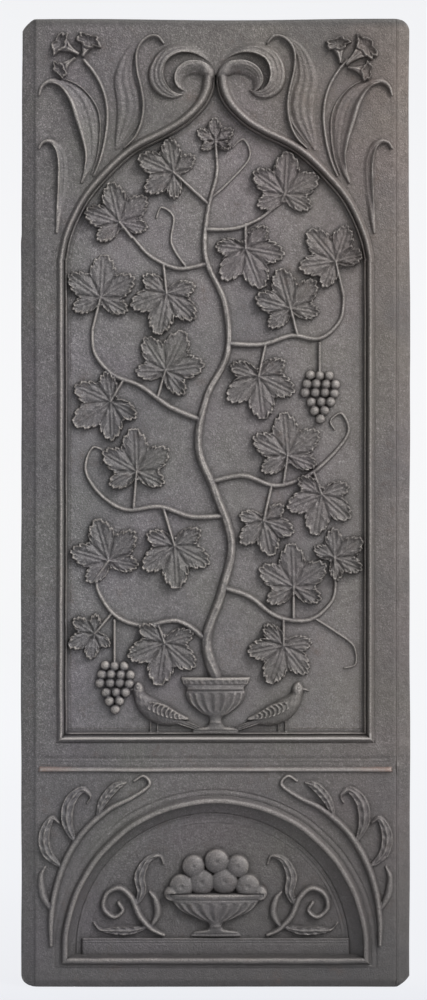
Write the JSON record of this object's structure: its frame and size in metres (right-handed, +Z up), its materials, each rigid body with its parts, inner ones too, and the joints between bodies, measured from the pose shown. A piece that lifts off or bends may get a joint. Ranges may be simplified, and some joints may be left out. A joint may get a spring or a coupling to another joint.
{
  "type": "fireback",
  "caption": "Tall cast-iron fireback: bordered relief plate with an ogee-headed upper panel, curled leaf head and a half-round lower panel.",
  "frame": {"origin": "middle of the foot's resting face, on the floor under the plate", "axes": "+Z up along the plate's height, +Y out of the flat back face, so the relief faces -Y; +X to the right seen from the front"},
  "size_m": [0.39, 0.022, 0.968],
  "materials": {
    "iron_border": "as cast, dull, fine grain",
    "iron_ground": "as cast, dull, fine grain",
    "iron_moulding": "as cast, rubbed on the crests",
    "iron_ornament": "as cast, rubbed on the crests",
    "iron_back": "as cast, rough"
  },
  "bodies": {
    "root": {"back_plate": "iron_back", "panel_ground": "iron_ground", "left_edge_bevel": "iron_border", "right_edge_bevel": "iron_border", "left_stile": "iron_border", "right_stile": "iron_border", "left_head_board": "iron_border", "right_head_board": "iron_border", "middle_rail": "iron_border", "left_lower_board": "iron_border", "right_lower_board": "iron_border", "bottom_rail": "iron_border", "left_upright_bead": "iron_moulding", "right_upright_bead": "iron_moulding", "sill_bead": "iron_moulding", "left_ogee_moulding": "iron_moulding", "right_ogee_moulding": "iron_moulding", "left_volute": "iron_ornament", "right_volute": "iron_ornament", "left_hook_leaf": "iron_ornament", "right_hook_leaf": "iron_ornament", "left_blade_leaf": "iron_ornament", "right_blade_leaf": "iron_ornament", "left_lily_stem": "iron_ornament", "right_lily_stem": "iron_ornament", "left_lily_flowers": "iron_ornament", "right_lily_flowers": "iron_ornament", "left_upper_leaf": "iron_ornament", "right_upper_leaf": "iron_ornament", "left_lower_leaf": "iron_ornament", "right_lower_leaf": "iron_ornament", "cross_bead": "iron_moulding", "left_lunette_rib": "iron_moulding", "right_lunette_rib": "iron_moulding", "left_lunette_cove": "iron_border", "right_lunette_cove": "iron_border", "lunette_sill": "iron_moulding", "table_ledge": "iron_border", "urn": "iron_ornament", "vine_trunk": "iron_ornament", "left_low_branch": "iron_ornament", "right_low_branch": "iron_ornament", "left_middle_branch": "iron_ornament", "right_middle_branch": "iron_ornament", "left_high_branch": "iron_ornament", "right_high_branch": "iron_ornament", "crown_branch": "iron_ornament", "left_berries": "iron_ornament", "right_berries": "iron_ornament", "left_bird": "iron_ornament", "right_bird": "iron_ornament", "fruit_bowl": "iron_ornament", "bowl_fruit": "iron_ornament", "left_scroll": "iron_ornament", "right_scroll": "iron_ornament", "left_shoulder_spray": "iron_ornament", "right_shoulder_spray": "iron_ornament"}
  },
  "joints": []
}
